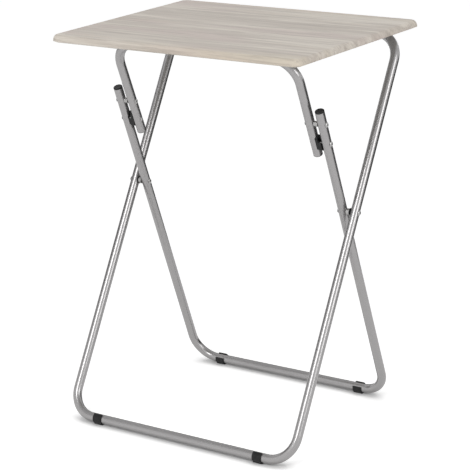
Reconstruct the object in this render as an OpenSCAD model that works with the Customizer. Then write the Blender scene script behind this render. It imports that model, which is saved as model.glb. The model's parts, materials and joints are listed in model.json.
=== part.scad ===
// Folding tray table: a rounded-over laminate board on three bent tube frames.
// The outer frame carries the rear of the board, the inner frame crosses it at two rivets,
// and the brace frame under the front of the board is pivoted to the inner frame.
// Frame: millimetres, Z up, X along the width, the front of the table towards -Y,
// and the origin on the floor in the middle of the whole table's footprint.

/* [Board] */
// height of the board's upper face above the floor
table_h = 660; // [600:5:720]
// width of the board
board_w = 480; // [460:5:560]
// depth of the board
board_d = 380; // [360:5:420]
// thickness of the board
board_t = 13; // [12:0.5:18]
// radius of the board's corners, seen from above
corner_r = 24; // [14:1:40]
// radius that rounds the board's upper edge over
edge_r = 8; // [3:0.5:9]

/* [Tubes] */
// outside diameter of the tubes
tube_d = 15.5; // [14:0.5:17]
// wall of the tubes
tube_wall = 1; // [0.8:0.1:1.5]
// radius of every bend, at the tube's middle
bend_r = 44; // [36:1:52]
// width of the outer frame, between the middles of its legs
outer_w = 444.5; // [430:0.5:450]
// side gap between the outer and the inner frame's legs
cross_gap = 7.5; // [6.5:0.1:10]
// side gap between the inner frame's legs and the brace's arms
brace_gap = 7.6; // [6.5:0.1:9]

/* [Stance] */
// from the board's middle forwards to the outer frame's floor bar
front_stance = 206.5; // [190:0.5:225]
// from the board's middle back to the inner frame's floor bar
back_stance = 138.5; // [125:0.5:155]
// from the board's middle back to the outer frame's top bar
rear_bar_y = 153.5; // [145:0.5:160]
// from the board's middle forwards to the brace frame's top bar
front_bar_y = 100.5; // [94:0.5:106]
// height of the rivets where the frames cross
cross_h = 373; // [355:1:390]
// play left in the linkage when it lies folded
fold_slack = 1.5; // [0.8:0.1:4]

/* [Inner frame and brace ends] */
// how far the inner frame's legs run past the brace pivot
leg_end = 23.5; // [16:0.5:26]
// how far the brace's arms run past the brace pivot
arm_end = 60; // [54:0.5:70]
// from the brace pivot down to the stop pin
stop_drop = 36; // [33:0.5:40]
// thickness of the plugs' rims on the inner frame
leg_plug_rim = 2.4; // [1.5:0.1:4]
// thickness of the plugs' rims on the brace
arm_plug_rim = 1.2; // [0.8:0.1:2.5]
// how deep the plugs reach into the tubes
plug_depth = 9; // [6:0.5:12]
// length of the cone that breaks a plug rim's edge
plug_edge = 0.7; // [0.3:0.1:0.8]

/* [Rivets and pins] */
// shank diameter of the pivot rivets
rivet_d = 5; // [4:0.5:6]
// head diameter of the pivot rivets
rivet_head_d = 9; // [8:0.5:11]
// head height of the pivot rivets
rivet_head_h = 2.2; // [1.6:0.2:2.8]
// diameter of a rivet's flatter end, on the table's inner side
rivet_tail_d = 8.5; // [8:0.5:10]
// height of a rivet's flatter end
rivet_tail_h = 1.3; // [0.8:0.1:2]
// diameter of the spacer sleeves at the brace pivots
pivot_spacer_d = 9; // [8:0.5:12]
// diameter of the spacer sleeves at the crossing
spacer_d = 11; // [9:0.5:12]
// thickness of the plastic washers at the crossing
washer_t = 1.2; // [0.8:0.1:2]
// diameter of the plastic washers at the crossing
washer_d = 13; // [12.5:0.5:14]
// shank diameter of the stop pins
pin_d = 5; // [4:0.5:5.5]
// head diameter of the stop pins
pin_head_d = 9; // [8:0.5:10]
// head height of the stop pins
pin_head_h = 2; // [1.4:0.2:2.6]

/* [Latch catches] */
// length of a catch along the brace's arm
catch_l = 26; // [22:0.5:30]
// width of a catch across the arm
catch_w = 13; // [12:0.5:15]
// thickness of a catch's base plate
catch_base = 2; // [1.5:0.1:2.5]
// shank diameter of the catch rivets
catch_rivet_d = 3.2; // [2.6:0.2:3.6]
// head diameter of the catch rivets
catch_head_d = 6; // [5:0.5:8]
// head height of the catch rivets
catch_head_h = 1; // [0.8:0.1:1.6]
// diameter of a catch rivet's tail, sunk in the base plate
catch_tail_d = 5; // [4.6:0.1:5.4]
// height of a catch rivet's tail
catch_tail_h = 0.8; // [0.6:0.1:1]
// how far a catch's saddle reaches down round the arm
catch_saddle = 2.5; // [1:0.5:3]
// tilt of the catch's mouth from the arm's line towards the front
mouth_tilt = 23; // [20:1:26]

/* [Board clips] */
// width of a clip along its bar
clip_w = 20; // [16:1:30]
// thickness of a clip between its bar and the board
clip_bed = 1; // [0.8:0.1:3]
// thickness of a clip's ears, where the screws hold it
clip_base = 2.4; // [2:0.1:4]
// wall of a clip's ring
clip_wall = 2.8; // [2:0.1:4]
// half angle of the clip's open mouth
clip_mouth = 48; // [35:1:60]
// from a bar's axis to each screw
screw_y = 16.5; // [16.5:0.5:20]
// distance of the rear clips from the middle
rear_clip_x = 112; // [80:1:140]
// distance of the front clips from the middle
front_clip_x = 92; // [60:1:105]

/* [Clip screws] */
// shank diameter of the screws
screw_d = 3.5; // [3:0.1:4]
// length of the screws below the head
screw_l = 11; // [9:0.5:12]
// head diameter of the screws
screw_head_d = 7; // [6:0.2:8]
// head height of the screws
screw_head_h = 2.2; // [1.8:0.1:3]

/* [Feet] */
// length of a foot's ring along the floor bar
foot_l = 16.5; // [13:0.5:20]
// how much longer the foot's flat pad is
pad_extra = 1; // [0.5:0.5:4]
// thickness of the pad under the tube
pad_t = 1.6; // [1.2:0.1:4]
// width of the pad across the bar
pad_w = 9; // [8:0.5:12]
// wall of a foot's ring
foot_wall = 1.6; // [1.2:0.1:2.5]
// height of the foot's mouth above the horizontal, as an angle
foot_mouth_at = 65; // [55:1:75]
// half angle of the foot's open mouth
foot_mouth = 47; // [35:1:52]
// radius of the rounded lips of a foot's mouth
foot_lip = 1.3; // [0.9:0.1:1.8]
// from the end of the front floor bar's bend to its foot
front_foot_in = 16.5; // [13:0.5:40]
// from the end of the back floor bar's bend to its foot
back_foot_in = 9.5; // [9.5:0.5:40]

/* [Clearances] */
// running fit of a pin in its bore, on the radius
pin_fit = 0.05; // [0.02:0.01:0.1]
// running fit of a bar in its clip, on the radius
bar_fit = 0.1; // [0.05:0.01:0.1]
// gap between pieces that move past each other
move_gap = 0.35; // [0.3:0.05:0.5]
// gap between pieces that sit on each other
seat_gap = 0.03; // [0.02:0.01:0.1]

/* [View] */
// the sub-part to draw, or all of them

/* [Hidden] */
$fn = 96;
tube_r = tube_d / 2;
bore_r = tube_r - tube_wall;
rivet_r = rivet_d / 2;
pin_r = pin_d / 2;

// Side positions of the legs and arms.
outer_x = outer_w / 2;
inner_x = outer_x - tube_d - cross_gap;
brace_x = inner_x - tube_d - brace_gap;
outer_in = outer_x - tube_r;
inner_out = inner_x + tube_r;
inner_in = inner_x - tube_r;
brace_out = brace_x + tube_r;
brace_in = brace_x - tube_r;

// Places in the side view, as [y, z].
foot_r = tube_r + seat_gap + foot_wall;
mid_y = (front_stance + foot_r - board_d / 2) / 2;
board_z = table_h - board_t;
bar_z = board_z - clip_bed - bar_fit - tube_r;
floor_z = pad_t + tube_r;
front_foot_at = [mid_y - front_stance, floor_z];
back_foot_at = [mid_y + back_stance, floor_z];
rear_bar_at = [mid_y + rear_bar_y, bar_z];
front_bar_at = [mid_y - front_bar_y, bar_z];
outer_dir = unit(rear_bar_at - front_foot_at);
cross_at = front_foot_at + outer_dir * (cross_h - floor_z) / outer_dir.y;
inner_dir = unit(cross_at - back_foot_at);

// The brace pivot is where the four links fold flat, less the play.
outer_len = norm(rear_bar_at - front_foot_at);
cross_on_outer = norm(cross_at - front_foot_at);
cross_on_inner = norm(cross_at - back_foot_at);
board_link = norm(rear_bar_at - front_bar_at);
open_reach = norm(front_bar_at - cross_at);
pivot_reach = (outer_len - cross_on_outer + open_reach - board_link - fold_slack) / 2;
pivot_at = cross_at + inner_dir * pivot_reach;
brace_dir = unit(pivot_at - front_bar_at);
brace_link = norm(pivot_at - front_bar_at);
inner_len = cross_on_inner + pivot_reach + leg_end;
brace_len = brace_link + arm_end;
stop_at = pivot_at - inner_dir * stop_drop;
stop_on_inner = cross_on_inner + pivot_reach - stop_drop;
stop_along = (stop_at - front_bar_at) * brace_dir;
stop_across = (stop_at - front_bar_at) * [-brace_dir.y, brace_dir.x];
catch_hook_h = brace_gap - 2 * seat_gap - catch_base - move_gap;
socket_r = pin_r + 2 * move_gap;
screw_places = [-screw_y, screw_y];

silver = [0.66, 0.65, 0.65];
zinc = [0.80, 0.80, 0.81];
black = [0.09, 0.09, 0.09];
laminate = [0.76, 0.72, 0.68];

function unit(v) = v / norm(v);

// ---- placing ----

// Puts local Y along a direction in the side view, and local X across the table.
module along(at, dir) {
    translate([0, at.x, at.y])
        rotate([atan2(dir.y, dir.x), 0, 0])
            children();
}

// Draws the children on one side of the table; side is -1 on the left and 1 on the right.
module on_side(side) {
    mirror([side < 0 ? 1 : 0, 0, 0]) children();
}

// A round bar along X from x0 to x1.
module x_rod(r, x0, x1) {
    translate([x0, 0, 0]) rotate([0, 90, 0]) cylinder(h = x1 - x0, r = r);
}

// A domed rivet head whose flat side is at x0; it rises towards +X, or -X when grow is -1.
module rivet_head(d, h, x0, grow) {
    dome_r = (d * d / 4 + h * h) / (2 * h);
    translate([x0, 0, 0]) rotate([0, grow * 90, 0]) intersection() {
        translate([0, 0, h - dome_r]) sphere(r = dome_r);
        cylinder(h = h + 1, r = d / 2);
    }
}

// ---- board ----

// Half of the board's section: a flat underside, an upright edge and a rounded-over top.
module board_profile(reach) {
    intersection() {
        square([reach, board_t]);
        union() {
            square([reach, board_t - edge_r]);
            square([reach - edge_r, board_t]);
            translate([reach - edge_r, board_t - edge_r]) circle(r = edge_r);
        }
    }
}

module tabletop() {
    core_w = board_w - 2 * corner_r;
    core_d = board_d - 2 * corner_r;
    color(laminate)
    difference() {
        translate([0, mid_y, board_z]) {
            translate([-core_w / 2, -core_d / 2, 0]) cube([core_w, core_d, board_t]);
            for (turn = [0, 180]) rotate([0, 0, turn]) {
                translate([core_w / 2, core_d / 2, 0])
                    rotate([90, 0, 0]) linear_extrude(core_d) board_profile(corner_r);
                translate([-core_w / 2, core_d / 2, 0])
                    rotate([90, 0, 90]) linear_extrude(core_w) board_profile(corner_r);
                translate([core_w / 2, core_d / 2, 0])
                    rotate_extrude(angle = 90) board_profile(corner_r);
                translate([-core_w / 2, core_d / 2, 0])
                    rotate([0, 0, 90]) rotate_extrude(angle = 90) board_profile(corner_r);
            }
        }
        for (side = [-1, 1]) {
            pilot_holes(side * rear_clip_x, rear_bar_at.x);
            pilot_holes(side * front_clip_x, front_bar_at.x);
        }
    }
}

module pilot_holes(x, y) {
    for (dy = screw_places)
        translate([x, y + dy, board_z - 1])
            cylinder(h = 1 + screw_l - clip_base + 0.5, r = screw_d / 2 + pin_fit, $fn = 32);
}

// ---- clips under the board ----

// A snap clip: a base plate on the board and a ring, open downwards, that grips the bar.
module board_clip(x, bar_y) {
    hole_r = tube_r + bar_fit;
    ring_r = hole_r + clip_wall;
    ear = screw_y + screw_head_d / 2 + 2;
    mouth = ring_r * 1.5;
    color(black)
    translate([x - clip_w / 2, bar_y, 0])
    difference() {
        rotate([90, 0, 90]) linear_extrude(clip_w) difference() {
            union() {
                translate([-ear, board_z - clip_base]) square([2 * ear, clip_base - seat_gap]);
                intersection() {
                    translate([0, bar_z]) circle(r = ring_r);
                    translate([-ring_r, bar_z - ring_r])
                        square([2 * ring_r, board_z - seat_gap - bar_z + ring_r]);
                }
            }
            translate([0, bar_z]) circle(r = hole_r);
            translate([0, bar_z])
                polygon([[0, 0], [-mouth * tan(clip_mouth), -mouth], [mouth * tan(clip_mouth), -mouth]]);
        }
        for (dy = screw_places)
            translate([clip_w / 2, dy, board_z - clip_base - 1])
                cylinder(h = clip_base + 2, r = screw_d / 2 + pin_fit, $fn = 32);
    }
}

// The two pan-head screws of one clip, with cross recesses.
module clip_screws(x, bar_y) {
    recess_l = screw_head_d * 0.55;
    recess_w = screw_head_d * 0.14;
    recess_h = screw_head_h * 0.55;
    head_z = board_z - clip_base - seat_gap;
    color(zinc)
    for (dy = screw_places) translate([x, bar_y + dy, head_z]) difference() {
        union() {
            cylinder(h = screw_l, r = screw_d / 2, $fn = 32);
            translate([0, 0, -screw_head_h / 2])
                cylinder(h = screw_head_h / 2, r = screw_head_d / 2, $fn = 48);
            translate([0, 0, -screw_head_h])
                cylinder(h = screw_head_h / 2, r1 = screw_head_d * 0.36, r2 = screw_head_d / 2, $fn = 48);
        }
        for (turn = [0, 90]) rotate([0, 0, turn])
            translate([-recess_l / 2, -recess_w / 2, -screw_head_h - 1])
                cube([recess_l, recess_w, recess_h + 1]);
    }
}

// ---- tube frames ----

// A quarter bend about the origin, from local +X to +Y.
module bend(r) {
    rotate_extrude(angle = 90) translate([bend_r, 0]) circle(r = r);
}

// A U of round section in the local XY plane: a bar on the X axis and two legs up to len.
module u_run(r, half_w, len) {
    side = half_w - bend_r;
    x_rod(r, -side, side);
    for (s = [0, 1]) mirror([s, 0, 0]) {
        translate([side, bend_r, 0]) rotate([0, 0, -90]) bend(r);
        translate([half_w, bend_r, 0]) rotate([-90, 0, 0]) cylinder(h = len - bend_r, r = r);
    }
}

// The same, closed at the top by two more bends and a second bar.
module ring_run(r, half_w, len) {
    side = half_w - bend_r;
    u_run(r, half_w, len - bend_r);
    translate([0, len, 0]) x_rod(r, -side, side);
    for (s = [0, 1]) mirror([s, 0, 0])
        translate([side, len - bend_r, 0]) bend(r);
}

// A round hole right across both legs, at a height on them.
module cross_bore(r, half_w, at) {
    translate([0, at, 0]) x_rod(r, -half_w - tube_d, half_w + tube_d);
}

module outer_frame() {
    color(silver)
    along(front_foot_at, outer_dir) difference() {
        ring_run(tube_r, outer_x, outer_len);
        ring_run(bore_r, outer_x, outer_len);
        cross_bore(rivet_r + pin_fit, outer_x, cross_on_outer);
    }
}

module inner_frame() {
    color(silver)
    along(back_foot_at, inner_dir) difference() {
        u_run(tube_r, inner_x, inner_len);
        u_run(bore_r, inner_x, inner_len + 1);
        cross_bore(rivet_r + pin_fit, inner_x, cross_on_inner);
        cross_bore(rivet_r + pin_fit, inner_x, cross_on_inner + pivot_reach);
        cross_bore(pin_r + pin_fit, inner_x, stop_on_inner);
    }
}

module brace_frame() {
    color(silver)
    along(front_bar_at, brace_dir) difference() {
        u_run(tube_r, brace_x, brace_len);
        u_run(bore_r, brace_x, brace_len + 1);
        cross_bore(rivet_r + pin_fit, brace_x, brace_link);
        cross_bore(catch_rivet_d / 2 + pin_fit, brace_x, stop_along);
    }
}

// ---- tube plugs ----

// A plug along local Y: a stem in the bore and a rim on the tube's cut end, at height at.
module tube_plug(x, at, rim) {
    color(black)
    translate([x, at + seat_gap, 0]) rotate([-90, 0, 0]) difference() {
        union() {
            translate([0, 0, -plug_depth]) cylinder(h = plug_depth, r = bore_r - pin_fit);
            cylinder(h = rim - plug_edge, r = tube_r);
            translate([0, 0, rim - plug_edge]) cylinder(h = plug_edge, r1 = tube_r, r2 = tube_r - plug_edge);
        }
        translate([0, 0, -plug_depth - 1]) cylinder(h = plug_depth + 1, r = bore_r - pin_fit - 1.5);
    }
}

module leg_plug(side) {
    on_side(side) along(back_foot_at, inner_dir) tube_plug(inner_x, inner_len, leg_plug_rim);
}

module arm_plug(side) {
    on_side(side) along(front_bar_at, brace_dir) tube_plug(brace_x, brace_len, arm_plug_rim);
}

// ---- crossing pivots ----

// The rivet turns with the outer frame; the inner frame turns on its shank.
module cross_rivet(side) {
    tail_x = inner_in - move_gap;
    head_x = outer_x + tube_r + seat_gap;
    color(zinc)
    on_side(side) along(cross_at, outer_dir) {
        x_rod(rivet_r, tail_x, head_x);
        rivet_head(rivet_head_d, rivet_head_h, head_x, 1);
        rivet_head(rivet_tail_d, rivet_tail_h, tail_x, -1);
    }
}

// A plain sleeve on a shank, from x0 to x1.
module sleeve(d, x0, x1) {
    difference() {
        x_rod(d / 2, x0, x1);
        x_rod(rivet_r + pin_fit, x0 - 1, x1 + 1);
    }
}

module cross_washer(side) {
    washer_x = outer_in - seat_gap - washer_t;
    color(black)
    on_side(side) along(cross_at, outer_dir) sleeve(washer_d, washer_x, washer_x + washer_t);
}

module cross_spacer(side) {
    washer_x = outer_in - seat_gap - washer_t;
    color(zinc)
    on_side(side) along(cross_at, outer_dir) sleeve(spacer_d, inner_out + move_gap, washer_x - seat_gap);
}

// ---- brace pivots, each split between its two frames ----

// The outer half: head and shank in the inner frame's leg, with the spacer on it.
module pivot_rivet(side) {
    head_x = inner_out + seat_gap;
    color(zinc)
    on_side(side) along(pivot_at, inner_dir) {
        x_rod(rivet_r, brace_out + 2 * move_gap, head_x);
        rivet_head(rivet_head_d, rivet_head_h, head_x, 1);
    }
}

module pivot_spacer(side) {
    color(zinc)
    on_side(side) along(pivot_at, inner_dir)
        sleeve(pivot_spacer_d, brace_out + move_gap, inner_in - seat_gap);
}

// The inner half: a stud across the brace's arm.
module pivot_stud(side) {
    head_x = brace_in - seat_gap;
    color(zinc)
    on_side(side) along(pivot_at, brace_dir) {
        x_rod(rivet_r, head_x, brace_out - seat_gap);
        rivet_head(rivet_tail_d, rivet_tail_h, head_x, -1);
    }
}

// ---- latches ----

module stop_pin(side) {
    head_x = inner_out + seat_gap;
    tip_x = brace_out + seat_gap + catch_base + move_gap;
    color(zinc)
    on_side(side) along(stop_at, inner_dir) {
        x_rod(pin_r, tip_x, head_x);
        rivet_head(pin_head_d, pin_head_h, head_x, 1);
    }
}

// A catch's outline along the arm (local Y) and across it, with its corners cut.
module catch_outline() {
    low = stop_along + catch_l / 2;
    top = stop_along - catch_l / 2;
    half = catch_w / 2;
    cut = 3;
    polygon([
        [top, -half + cut], [top + cut, -half], [low - cut, -half], [low, -half + cut],
        [low, half - cut], [low - cut, half], [top + cut, half], [top, half - cut],
    ]);
}

// The hook cradles the stop pin; its mouth flares up the arm and towards the front.
module catch_mouth() {
    reach = catch_l;
    narrow = pin_r + move_gap / 3;
    wide = narrow + reach * 0.22;
    translate([stop_along, stop_across]) {
        circle(r = socket_r);
        rotate([0, 0, 180 + mouth_tilt])
            polygon([[0, -narrow], [reach, -wide], [reach, wide], [0, narrow]]);
    }
}

// The base is a saddle on the arm; the rivet's tail is sunk in it, under the hook's socket.
module catch_part(side) {
    base_x = brace_out + seat_gap;
    sunk_x = base_x + catch_base - catch_tail_h - 2 * seat_gap;
    color(black)
    on_side(side) along(front_bar_at, brace_dir) difference() {
        translate([base_x, 0, 0]) rotate([0, 90, 0]) rotate([0, 0, 90]) {
            translate([0, 0, -catch_saddle]) linear_extrude(catch_saddle + catch_base) catch_outline();
            translate([0, 0, catch_base]) linear_extrude(catch_hook_h) difference() {
                catch_outline();
                catch_mouth();
            }
        }
        translate([brace_x, 0, 0]) rotate([-90, 0, 0]) cylinder(h = brace_len + 1, r = tube_r + seat_gap);
        translate([0, stop_along, 0]) {
            x_rod(catch_rivet_d / 2 + pin_fit, base_x - 1, sunk_x + 1);
            x_rod(catch_tail_d / 2 + pin_fit, sunk_x, inner_in);
        }
    }
}

module catch_rivet(side) {
    head_x = brace_in - seat_gap;
    tail_x = brace_out + catch_base;
    color(zinc)
    on_side(side) along(front_bar_at, brace_dir) translate([0, stop_along, 0]) {
        x_rod(catch_rivet_d / 2, head_x, tail_x);
        x_rod(catch_tail_d / 2, tail_x - catch_tail_h, tail_x);
        rivet_head(catch_head_d, catch_head_h, head_x, -1);
    }
}

// ---- feet ----

// A C-shaped foot clipped on a floor bar from above, with rounded lips and a flat pad below.
// Its mouth leans towards the table's middle; out is -1 at the front.
module foot(x, at, out) {
    hole_r = tube_r + seat_gap;
    lip_at = hole_r + foot_wall / 2;
    mouth = foot_r * 2;
    mouth_half = mouth * tan(foot_mouth);
    pad_top = floor_z - tube_r / 2;
    color(black)
    translate([x, at.x, 0]) mirror([0, out > 0 ? 1 : 0, 0])
    difference() {
        union() {
            rotate([90, 0, 90]) translate([0, 0, -foot_l / 2]) linear_extrude(foot_l) {
                difference() {
                    translate([0, floor_z]) circle(r = foot_r);
                    translate([-foot_r, -1]) square([2 * foot_r, 1]);
                    translate([0, floor_z]) rotate([0, 0, foot_mouth_at])
                        polygon([[0, 0], [mouth, -mouth_half], [mouth, mouth_half]]);
                }
                for (edge = [-1, 1])
                    translate([0, floor_z]) rotate([0, 0, foot_mouth_at + edge * foot_mouth])
                        translate([lip_at, 0]) circle(r = foot_lip);
            }
            translate([-(foot_l + pad_extra) / 2, -pad_w / 2, 0]) cube([foot_l + pad_extra, pad_w, pad_top]);
        }
        translate([0, 0, floor_z]) x_rod(hole_r, -foot_l, foot_l);
    }
}

module front_foot(side) {
    foot(side * (outer_x - bend_r - front_foot_in), front_foot_at, -1);
}

module back_foot(side) {
    foot(side * (inner_x - bend_r - back_foot_in), back_foot_at, 1);
}

// ---- the assembly ----

tabletop();
board_clip(-rear_clip_x, rear_bar_at.x);  // rear_clip_left
board_clip(rear_clip_x, rear_bar_at.x);  // rear_clip_right
board_clip(-front_clip_x, front_bar_at.x);  // front_clip_left
board_clip(front_clip_x, front_bar_at.x);  // front_clip_right
clip_screws(-rear_clip_x, rear_bar_at.x);  // rear_screws_left
clip_screws(rear_clip_x, rear_bar_at.x);  // rear_screws_right
clip_screws(-front_clip_x, front_bar_at.x);  // front_screws_left
clip_screws(front_clip_x, front_bar_at.x);  // front_screws_right
outer_frame();
inner_frame();
brace_frame();
leg_plug(-1);  // leg_plug_left
leg_plug(1);  // leg_plug_right
arm_plug(-1);  // arm_plug_left
arm_plug(1);  // arm_plug_right
cross_rivet(-1);  // cross_rivet_left
cross_rivet(1);  // cross_rivet_right
cross_spacer(-1);  // cross_spacer_left
cross_spacer(1);  // cross_spacer_right
cross_washer(-1);  // cross_washer_left
cross_washer(1);  // cross_washer_right
pivot_rivet(-1);  // pivot_rivet_left
pivot_rivet(1);  // pivot_rivet_right
pivot_spacer(-1);  // pivot_spacer_left
pivot_spacer(1);  // pivot_spacer_right
pivot_stud(-1);  // pivot_stud_left
pivot_stud(1);  // pivot_stud_right
stop_pin(-1);  // stop_pin_left
stop_pin(1);  // stop_pin_right
catch_part(-1);  // catch_left
catch_part(1);  // catch_right
catch_rivet(-1);  // catch_rivet_left
catch_rivet(1);  // catch_rivet_right
front_foot(-1);  // front_foot_left
front_foot(1);  // front_foot_right
back_foot(-1);  // back_foot_left
back_foot(1);  // back_foot_right
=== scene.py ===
"""Looks of the folding tray table: materials, the board's edge, floor, light and camera.

Lengths are in metres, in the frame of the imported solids: +Z is up and the front faces -Y.
"""

import json
import math

import bpy
from mathutils import Matrix, Vector


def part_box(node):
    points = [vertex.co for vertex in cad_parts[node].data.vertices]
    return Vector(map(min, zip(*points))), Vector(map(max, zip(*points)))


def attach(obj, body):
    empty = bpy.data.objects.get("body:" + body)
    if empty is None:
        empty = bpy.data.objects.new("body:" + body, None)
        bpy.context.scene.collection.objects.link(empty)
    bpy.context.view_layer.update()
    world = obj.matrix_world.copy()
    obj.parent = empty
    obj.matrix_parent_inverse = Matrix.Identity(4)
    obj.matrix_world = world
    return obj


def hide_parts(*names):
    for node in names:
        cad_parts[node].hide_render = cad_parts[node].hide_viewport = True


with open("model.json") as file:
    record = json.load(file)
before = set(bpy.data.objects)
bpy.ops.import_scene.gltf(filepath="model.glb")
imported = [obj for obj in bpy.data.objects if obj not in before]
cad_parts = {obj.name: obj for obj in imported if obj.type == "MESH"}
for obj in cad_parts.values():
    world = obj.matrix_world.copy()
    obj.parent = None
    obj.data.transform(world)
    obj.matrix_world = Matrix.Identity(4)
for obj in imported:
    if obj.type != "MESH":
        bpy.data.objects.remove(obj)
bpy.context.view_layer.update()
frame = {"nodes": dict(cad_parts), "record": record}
nodes = frame["nodes"]


def add_object(name, data):
    """Puts a new object with this data into the scene."""
    made = bpy.data.objects.new(name, data)
    bpy.context.scene.collection.objects.link(made)
    return made


# ---- camera ----

CAMERA_PLACE = Vector((1.721902, -2.515154, 1.218970))
CAMERA_YAW = -0.60169
CAMERA_PITCH = -0.29069
CAMERA_ROLL = -0.02932
LENS_MM = 144.365
SENSOR_MM = 36.0
CLIP_START = 0.05
CLIP_END = 60


def make_camera():
    """A long lens from the front right, a little above the board, rolled by under two degrees."""
    ahead = Vector((
        math.sin(CAMERA_YAW) * math.cos(CAMERA_PITCH),
        math.cos(CAMERA_YAW) * math.cos(CAMERA_PITCH),
        math.sin(CAMERA_PITCH),
    ))
    level = ahead.cross(Vector((0, 0, 1))).normalized()
    above = level.cross(ahead)
    turn, lean = math.cos(CAMERA_ROLL), math.sin(CAMERA_ROLL)
    right = level * turn + above * lean
    up = above * turn - level * lean
    data = bpy.data.cameras.new("camera")
    data.sensor_width = SENSOR_MM
    data.lens = LENS_MM
    data.clip_start = CLIP_START
    data.clip_end = CLIP_END
    camera = add_object("camera", data)
    turned = Matrix((right, up, -ahead)).transposed().to_4x4()
    camera.matrix_world = Matrix.Translation(CAMERA_PLACE) @ turned
    bpy.context.scene.camera = camera


make_camera()


# ---- node helpers ----

WHITE = (1.0, 1.0, 1.0, 1.0)


class Nodes:
    """Adds shader nodes to one tree.

    add returns the new node. The methods after put return an output socket of what they add.
    """

    # the colour sockets of a Mix node
    MIX_A, MIX_B, MIX_RESULT = 6, 7, 2

    def __init__(self, tree):
        self.tree = tree
        tree.nodes.clear()

    def add(self, kind, **inputs):
        """A new node with its inputs set or linked; an underscore in a name stands for a space."""
        node = self.tree.nodes.new("ShaderNode" + kind)
        self.fill(node, **inputs)
        return node

    def fill(self, node, **inputs):
        """Sets or links a node's inputs by name."""
        for name, value in inputs.items():
            self.put(node.inputs[name.replace("_", " ")], value)

    def put(self, socket, value):
        """Links an output socket to an input socket, or sets it to a plain value."""
        if isinstance(value, bpy.types.NodeSocket):
            self.tree.links.new(value, socket)
        else:
            socket.default_value = value

    def noise(self, place, scale=1.0, detail=3.0, rough=0.5, warp=0.0):
        node = self.add(
            "TexNoise", Vector=place, Scale=scale, Detail=detail, Roughness=rough, Distortion=warp
        )
        return node.outputs["Fac"]

    def cells(self, place, scale=1.0, out="Distance"):
        """Irregular cells: the distance to the nearest one's middle, or its own colour."""
        return self.add("TexVoronoi", Vector=place, Scale=scale).outputs[out]

    def span(self, value, low=0.0, high=1.0, to_low=0.0, to_high=1.0):
        """Runs from to_low to to_high while the value runs from low to high, and stays there."""
        node = self.add("MapRange", Value=value)
        self.fill(node, From_Min=low, From_Max=high, To_Min=to_low, To_Max=to_high)
        return node.outputs["Result"]

    def calc(self, kind, a, b):
        node = self.add("Math")
        node.operation = kind
        self.put(node.inputs[0], a)
        self.put(node.inputs[1], b)
        return node.outputs[0]

    def mix(self, share, a, b):
        """Mixes two colours, each an output or red, green and blue."""
        node = self.add("Mix")
        node.data_type = "RGBA"
        self.put(node.inputs[0], share)
        for index, colour in ((self.MIX_A, a), (self.MIX_B, b)):
            self.put(node.inputs[index], (*colour, 1.0) if isinstance(colour, tuple) else colour)
        return node.outputs[self.MIX_RESULT]

    def height_of(self, place):
        """The Z of a place or a direction."""
        return self.add("SeparateXYZ", Vector=place).outputs["Z"]

    def seen(self, path):
        """1 where the camera looks, straight or through something clear, and 0 elsewhere."""
        return self.calc("MAXIMUM", path["Is Camera Ray"], path["Is Transmission Ray"])


class Material(Nodes):
    """One material with a Principled shader."""

    def __init__(self, name):
        self.material = bpy.data.materials.new(name)
        self.material.use_nodes = True
        super().__init__(self.material.node_tree)
        self.shader = self.add("BsdfPrincipled")
        self.add("OutputMaterial", Surface=self.shader.outputs["BSDF"])
        self.place = self.add("TexCoord").outputs["Object"]

    def set(self, **inputs):
        self.fill(self.shader, **inputs)

    def stretched(self, along, across):
        """The place in units of so many to a metre, along X and across it: marks run along X."""
        scale = (along, across, across)
        return self.add("Mapping", Vector=self.place, Scale=scale).outputs["Vector"]

    def emboss(self, height, depth, strength):
        """Gives the shader a relief of this depth, softened by the strength."""
        bump = self.add("Bump", Strength=strength, Distance=depth, Height=height)
        self.set(Normal=bump.outputs["Normal"])


# ---- materials ----

# heights over the flat underside between which its backing foil gives way to the wood-grain foil
BACKING_TO = 0.00004
TOP_FOIL_FROM = 0.00012


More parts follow.
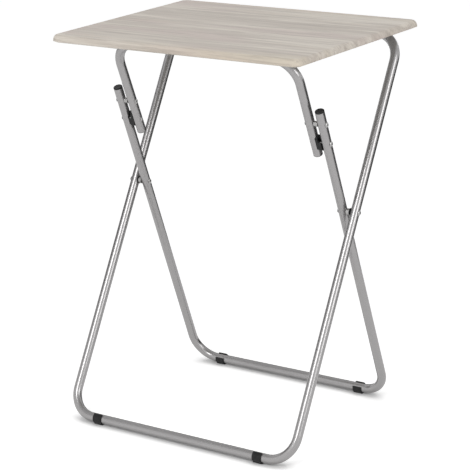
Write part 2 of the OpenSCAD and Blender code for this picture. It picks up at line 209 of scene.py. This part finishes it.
def laminate():
    """Greige wood-grain foil, grain along the width, over the top and the rounded edges.

    The flat underside has a plain pale backing foil instead.
    """
    pale = (0.735, 0.678, 0.600)
    mid = (0.580, 0.520, 0.458)
    deep = (0.40, 0.352, 0.305)
    straw = (0.665, 0.590, 0.470)
    rose = (0.610, 0.515, 0.475)
    pore_brown = (0.30, 0.262, 0.23)
    backing_light = (0.60, 0.585, 0.555)
    backing_dark = (0.52, 0.50, 0.47)
    m = Material("laminate")
    boards = m.noise(m.stretched(1.1, 11), detail=3, rough=0.5, warp=0.3)
    bands = m.noise(m.stretched(2.6, 34), detail=4, rough=0.6, warp=0.4)
    streaks = m.noise(m.stretched(5.5, 105), detail=4, rough=0.65, warp=0.5)
    lines = m.noise(m.stretched(7.0, 290), detail=3, rough=0.6, warp=0.3)
    fibres = m.noise(m.stretched(28, 1100), detail=3, rough=0.6)
    tint = m.noise(m.stretched(3.4, 16), detail=3, rough=0.5)
    pore = m.span(m.cells(m.stretched(70, 1500)), 0.10, 0.26, 1.0, 0.0)
    pore = m.calc("MULTIPLY", pore, m.span(streaks, 0.40, 0.60, 0.15, 1.0))
    body = m.mix(m.span(bands, 0.42, 0.60), pale, mid)
    for field, low, high, most, colour in (
        (tint, 0.47, 0.60, 0.70, rose),
        (boards, 0.52, 0.62, 0.65, straw),
        (streaks, 0.50, 0.66, 0.56, deep),
        (lines, 0.50, 0.68, 0.50, deep),
        (fibres, 0.42, 0.72, 0.30, deep),
    ):
        body = m.mix(m.span(field, low, high, to_high=most), body, colour)
    body = m.mix(m.calc("MULTIPLY", pore, 0.45), body, pore_brown)
    under_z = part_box("tabletop")[0][2]
    under = m.span(m.height_of(m.place), under_z + BACKING_TO, under_z + TOP_FOIL_FROM, 1.0, 0.0)
    mottle = m.noise(m.place, 240, detail=4, rough=0.65)
    backing = m.mix(m.span(mottle, 0.35, 0.65), backing_light, backing_dark)
    m.set(
        Base_Color=m.mix(under, body, backing),
        Roughness=m.span(fibres, 0.3, 0.7, 0.42, 0.52),
        Specular_IOR_Level=0.42,
    )
    raised = m.calc("MULTIPLY", fibres, 0.6)
    sunk = m.calc("MULTIPLY", pore, 0.8)
    m.emboss(m.calc("SUBTRACT", raised, sunk), depth=0.00004, strength=0.6)
    return m.material


def tube_finish():
    """Silver-grey metallic powder coat: fine flakes under a satin gloss and a faint orange peel."""
    m = Material("tube_finish")
    flake = m.add("SeparateColor", Color=m.cells(m.place, 2600, "Color")).outputs
    peel = m.noise(m.place, 420, detail=2)
    cloud = m.noise(m.place, 9)
    body = m.mix(flake["Red"], (0.364, 0.357, 0.358), (0.396, 0.387, 0.388))
    body = m.mix(m.span(cloud, 0.35, 0.65, to_high=0.35), body, (0.358, 0.349, 0.351))
    rough = m.span(flake["Green"], to_low=0.235, to_high=0.275)
    m.set(Base_Color=body, Metallic=0.9, Roughness=rough)
    m.emboss(peel, depth=0.00003, strength=0.12)
    return m.material


def zinc_steel():
    """Bright zinc plate with fine turning marks and small dull spots."""
    m = Material("zinc_steel")
    spots = m.noise(m.place, 900, detail=4, rough=0.6)
    marks = m.noise(m.stretched(300, 5200), detail=2)
    body = m.mix(m.span(spots, 0.4, 0.7), (0.47, 0.465, 0.46), (0.36, 0.355, 0.35))
    rough = m.span(spots, 0.35, 0.7, 0.26, 0.42)
    m.set(Base_Color=body, Metallic=1.0, Roughness=rough)
    m.emboss(marks, depth=0.00002, strength=0.4)
    return m.material


def black_plastic():
    """Moulded black plastic with a fine eroded texture."""
    m = Material("black_plastic")
    texture = m.noise(m.place, 2400, detail=3, rough=0.6)
    cloud = m.noise(m.place, 160, detail=2)
    body = m.mix(m.span(cloud, 0.35, 0.65), (0.009, 0.009, 0.009), (0.016, 0.016, 0.017))
    rough = m.span(texture, 0.3, 0.7, 0.36, 0.50)
    m.set(Base_Color=body, Roughness=rough, Specular_IOR_Level=0.28)
    m.emboss(texture, depth=0.00005, strength=0.5)
    return m.material


MATERIALS = {
    "laminate": laminate(),
    "tube_finish": tube_finish(),
    "zinc_steel": zinc_steel(),
    "black_plastic": black_plastic(),
}

for row in frame["record"]["subparts"]:
    data = nodes[row["node"]].data
    data.materials.clear()
    data.materials.append(MATERIALS[row["material_slot"]])


# ---- the board ----

# radius of the corners, seen from above
BOARD_CORNER = 0.016
# the round-over of the upper edge, and how far in the bevel below it starts on the underside
EDGE_IN = 0.008
EDGE_DOWN = 0.0105
BEVEL_IN = 0.006
# a flat strip inside the round-over, which keeps the top's shading flat
FLAT_MARGIN = 0.004
EDGE_STEPS = 10
CORNER_STEPS = 12
SHARP_FROM_DEGREES = 30


def board_outline(middle, half_w, half_d, inset, z):
    """A rounded rectangle at one height, drawn in from the board's outline by the inset."""
    points = []
    for corner, (side_x, side_y) in enumerate(((1, 1), (-1, 1), (-1, -1), (1, -1))):
        centre_x = middle.x + side_x * (half_w - BOARD_CORNER)
        centre_y = middle.y + side_y * (half_d - BOARD_CORNER)
        for j in range(CORNER_STEPS + 1):
            a = math.radians(90 * (corner + j / CORNER_STEPS))
            reach = BOARD_CORNER - inset
            points.append((centre_x + reach * math.cos(a), centre_y + reach * math.sin(a), z))
    return points


def make_board():
    """The board with its real edge: a deep round-over on top and a small bevel below."""
    low, high = (Vector(corner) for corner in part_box("tabletop"))
    middle = (low + high) / 2
    half_w, half_d = (high.x - low.x) / 2, (high.y - low.y) / 2
    # pairs of inset and height, from the underside up
    profile = [(BEVEL_IN, low.z)]
    for i in range(EDGE_STEPS + 1):
        a = math.radians(90 * i / EDGE_STEPS)
        profile.append((EDGE_IN * (1 - math.cos(a)), high.z - EDGE_DOWN * (1 - math.sin(a))))
    profile.append((EDGE_IN + FLAT_MARGIN, high.z))
    rings = [board_outline(middle, half_w, half_d, inset, z) for inset, z in profile]
    points = [point for ring in rings for point in ring]
    count = len(rings[0])
    faces = [tuple(reversed(range(count))), tuple(range(len(points) - count, len(points)))]
    for level in range(len(rings) - 1):
        for j in range(count):
            a, b = level * count + j, level * count + (j + 1) % count
            faces.append((a, b, b + count, a + count))
    mesh = bpy.data.meshes.new("wood_grain_board")
    mesh.from_pydata(points, [], faces)
    mesh.shade_smooth()
    mesh.set_sharp_from_angle(angle=math.radians(SHARP_FROM_DEGREES))
    mesh.materials.append(MATERIALS["laminate"])
    board = add_object("wood_grain_board", mesh)
    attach(board, "board")
    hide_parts("tabletop")


make_board()


# ---- floor, background and light ----

FLOOR_HALF = 6.0
FLOOR_DROP = 0.0002
FLOOR_COLOUR = (0.93, 0.93, 0.93, 1.0)
# what the floor adds to its colour where it is open, and the share of it that reflections find; it
# fades where parts cover the floor, which paints a contact shadow
FLOOR_WHITE = 0.42
FLOOR_MIRRORED = 0.6
# how open (ambient occlusion) the floor is where the painted contact shadow is darkest, and where
# it has faded out to white
COVERED, OPEN = 0.60, 0.86
PAINTED_SHADOW_REACH = 0.05
PAINTED_SHADOW_SAMPLES = 24
# the plain light from all round, and how steeply up reflections start and end to find that
SKY_LIGHT = 0.62
SKY_FROM, SKY_TO = 0.42, 0.85
FLAG_COLOUR = (0.06, 0.06, 0.06, 1.0)
FLAG_STEPS = 12
TABLE_MIDDLE = Vector((0.0, 0.0, 0.33))
UP = Vector((0.0, 0.0, 1.0))


def make_world():
    """White to the camera and, near the level, in reflections; a plain soft light otherwise."""
    world = bpy.data.worlds.new("studio")
    world.use_nodes = True
    n = Nodes(world.node_tree)
    path = n.add("LightPath").outputs
    rise = n.height_of(n.add("TexCoord").outputs["Generated"])
    sky = n.span(rise, SKY_FROM, SKY_TO, 1.0, SKY_LIGHT)
    light = n.span(path["Is Glossy Ray"], to_low=SKY_LIGHT, to_high=sky)
    strength = n.span(n.seen(path), to_low=light, to_high=1.0)
    back = n.add("Background", Color=WHITE, Strength=strength)
    n.add("OutputWorld", Surface=back.outputs["Background"])
    bpy.context.scene.world = world


def make_floor():
    """A pale floor that shows white where it is open; where parts cover it, its glow fades into a
    painted contact shadow over its real shadow.
    """
    h = FLOOR_HALF
    corners = [(x, y, -FLOOR_DROP) for x, y in ((-h, -h), (h, -h), (h, h), (-h, h))]
    mesh = bpy.data.meshes.new("floor")
    mesh.from_pydata(corners, [], [(0, 1, 2, 3)])
    m = Material("floor")
    # painted shadow: the floor's glow fades with ambient occlusion near the parts, darkening it
    # under and beside them
    painted_shadow_occlusion = m.add("AmbientOcclusion", Distance=PAINTED_SHADOW_REACH)
    painted_shadow_occlusion.samples = PAINTED_SHADOW_SAMPLES
    glow_with_painted_shadow = m.span(painted_shadow_occlusion.outputs["AO"], COVERED, OPEN, to_high=FLOOR_WHITE)
    path = m.add("LightPath").outputs
    mirrored = m.calc("MULTIPLY", path["Is Glossy Ray"], FLOOR_MIRRORED)
    seen = m.calc("MAXIMUM", m.seen(path), mirrored)
    m.set(
        Base_Color=FLOOR_COLOUR,
        Roughness=0.9,
        Specular_IOR_Level=0.0,
        Emission_Color=WHITE,
        Emission_Strength=m.span(seen, to_high=glow_with_painted_shadow),
    )
    mesh.materials.append(m.material)
    add_object("floor", mesh)


def outward(azimuth):
    """The level direction at an azimuth in degrees: 0 is the front, 90 the right."""
    a = math.radians(azimuth)
    return Vector((math.sin(a), -math.cos(a), 0.0))


def make_softbox(name, azimuth, elevation, distance, width, height, watts):
    """A rectangular lamp that faces the middle of the table."""
    e = math.radians(elevation)
    away = outward(azimuth) * math.cos(e) + UP * math.sin(e)
    data = bpy.data.lights.new(name, "AREA")
    data.shape = "RECTANGLE"
    data.size = width
    data.size_y = height
    data.energy = watts
    lamp = add_object(name, data)
    lamp.location = TABLE_MIDDLE + away * distance
    lamp.rotation_euler = away.to_track_quat("Z", "Y").to_euler()


def make_flag(name, azimuths, elevations, distance):
    """A dark curved card that only reflections show, as a studio puts beside bright metal."""
    first, last = azimuths
    corners = []
    for i in range(FLAG_STEPS + 1):
        side = outward(first + (last - first) * i / FLAG_STEPS)
        for elevation in elevations:
            rise = math.tan(math.radians(elevation))
            corners.append(TABLE_MIDDLE + (side + UP * rise) * distance)
    faces = [(2 * i, 2 * i + 2, 2 * i + 3, 2 * i + 1) for i in range(FLAG_STEPS)]
    mesh = bpy.data.meshes.new(name)
    mesh.from_pydata(corners, [], faces)
    m = Material(name)
    m.set(Base_Color=FLAG_COLOUR, Roughness=1.0, Specular_IOR_Level=0.0)
    mesh.materials.append(m.material)
    flag = add_object(name, mesh)
    flag.visible_camera = False
    flag.visible_diffuse = False
    flag.visible_shadow = False


make_world()
make_floor()
make_flag("flag_right", azimuths=(108, 232), elevations=(-15, 12), distance=1.2)
make_flag("flag_left", azimuths=(-92, -56), elevations=(4, 30), distance=1.6)
make_softbox("key", azimuth=0, elevation=33.6, distance=3.0, width=1.05, height=1.1, watts=20.5)
make_softbox("side", azimuth=77, elevation=23, distance=3.0, width=1.0, height=1.5, watts=14)

bpy.context.scene.view_settings.view_transform = "Standard"
